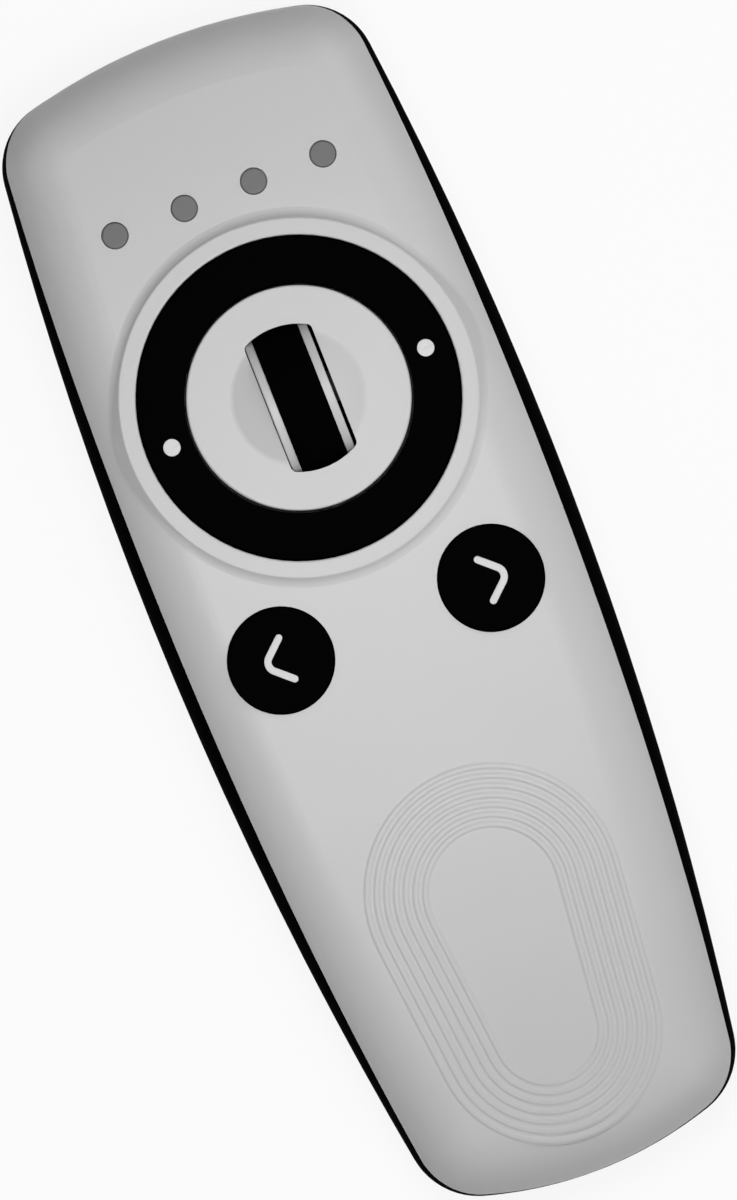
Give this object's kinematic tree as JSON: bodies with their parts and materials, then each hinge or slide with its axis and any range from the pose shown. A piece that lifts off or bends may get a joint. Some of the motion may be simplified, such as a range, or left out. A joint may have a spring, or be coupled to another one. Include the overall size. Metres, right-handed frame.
{
  "type": "remote control",
  "caption": "Hand-held remote control with a scroll wheel inside a rocking ring, channel buttons, indicator windows and a ridged thumb rest.",
  "frame": {"origin": "middle of the remote's box on the flat back that it rests on", "axes": "+Z out of the control face, +Y along the body towards the head with the indicator windows, +X across to the next button"},
  "size_m": [0.0546, 0.1504, 0.0243],
  "materials": {
    "front_plastic": "satin",
    "rear_plastic": "satin",
    "key_plastic": "satin",
    "tyre_rubber": "matte",
    "bright_rim": "polished",
    "window_plastic": "gloss",
    "inner_plastic": "matte",
    "gear_plastic": "satin",
    "silicone": "matte",
    "steel": "satin",
    "dark_screws": "satin",
    "contact_metal": "satin",
    "board": "satin",
    "chips": "matte",
    "ceramic_parts": "satin",
    "led_plastic": "gloss",
    "copper_wire": "satin"
  },
  "bodies": {
    "root": {"front_shell": "front_plastic", "hub_plate": "front_plastic", "rear_shell": "rear_plastic", "light_guide": "window_plastic", "control_frame": "inner_plastic", "setup_switch": "inner_plastic", "ring_keypad": "silicone", "channel_keypad": "silicone", "press_domes": "steel", "board_screws": "steel", "coin_cell": "steel", "shell_screws": "dark_screws", "negative_contact": "contact_metal", "positive_contact": "contact_metal", "crystal": "contact_metal", "main_board": "board", "controller_chip": "chips", "radio_chip": "chips", "capacitors": "ceramic_parts", "indicator_leds": "led_plastic", "antenna": "copper_wire"},
    "rocker": {"rocker_ring": "key_plastic", "pivot_pins": "steel"},
    "cradle": {"wheel_cradle": "inner_plastic", "encoder_sensor": "inner_plastic", "detent_spring": "steel"},
    "scroll_wheel": {"wheel_tyre": "tyre_rubber", "wheel_rims": "bright_rim", "wheel_core": "inner_plastic", "wheel_axle": "steel", "encoder_disc": "steel", "detent_cam": "gear_plastic"},
    "prev_key": {"prev_button": "key_plastic"},
    "next_key": {"next_button": "key_plastic"},
    "cap": {"battery_cap": "rear_plastic", "cap_seal": "silicone"},
    "setup_key": {"setup_button": "inner_plastic"}
  },
  "joints": [
    {"name": "ring_rock", "type": "hinge", "parent": "root", "child": "rocker", "pos_m": [0, 0.0275, 0.0157], "axis": [1, 0, 0], "range_deg": [-1.8, 1.8], "stiffness_Nm_per_rad": 1.1, "deforming": ["ring_keypad"]},
    {"name": "wheel_press", "type": "slide", "parent": "root", "child": "cradle", "axis": [0, 0, -1], "range_m": [0, 0.0005], "stiffness_N_per_m": 6000, "deforming": ["press_domes"]},
    {"name": "wheel_spin", "type": "hinge", "parent": "cradle", "child": "scroll_wheel", "pos_m": [0, 0.0275, 0.01435], "axis": [1, 0, 0], "continuous": true},
    {"name": "prev_press", "type": "slide", "parent": "root", "child": "prev_key", "axis": [0, 0, -1], "range_m": [0, 0.0006], "stiffness_N_per_m": 3300, "deforming": ["channel_keypad"]},
    {"name": "next_press", "type": "slide", "parent": "root", "child": "next_key", "axis": [0, 0, -1], "range_m": [0, 0.0006], "stiffness_N_per_m": 3300, "deforming": ["channel_keypad"]},
    {"name": "cap_turn", "type": "hinge", "parent": "root", "child": "cap", "pos_m": [0, -0.036, 0], "axis": [0, 0, -1], "range_deg": [0, 40]},
    {"name": "setup_press", "type": "slide", "parent": "root", "child": "setup_key", "axis": [0, 0, 1], "range_m": [0, 0.0004], "stiffness_N_per_m": 2500}
  ]
}
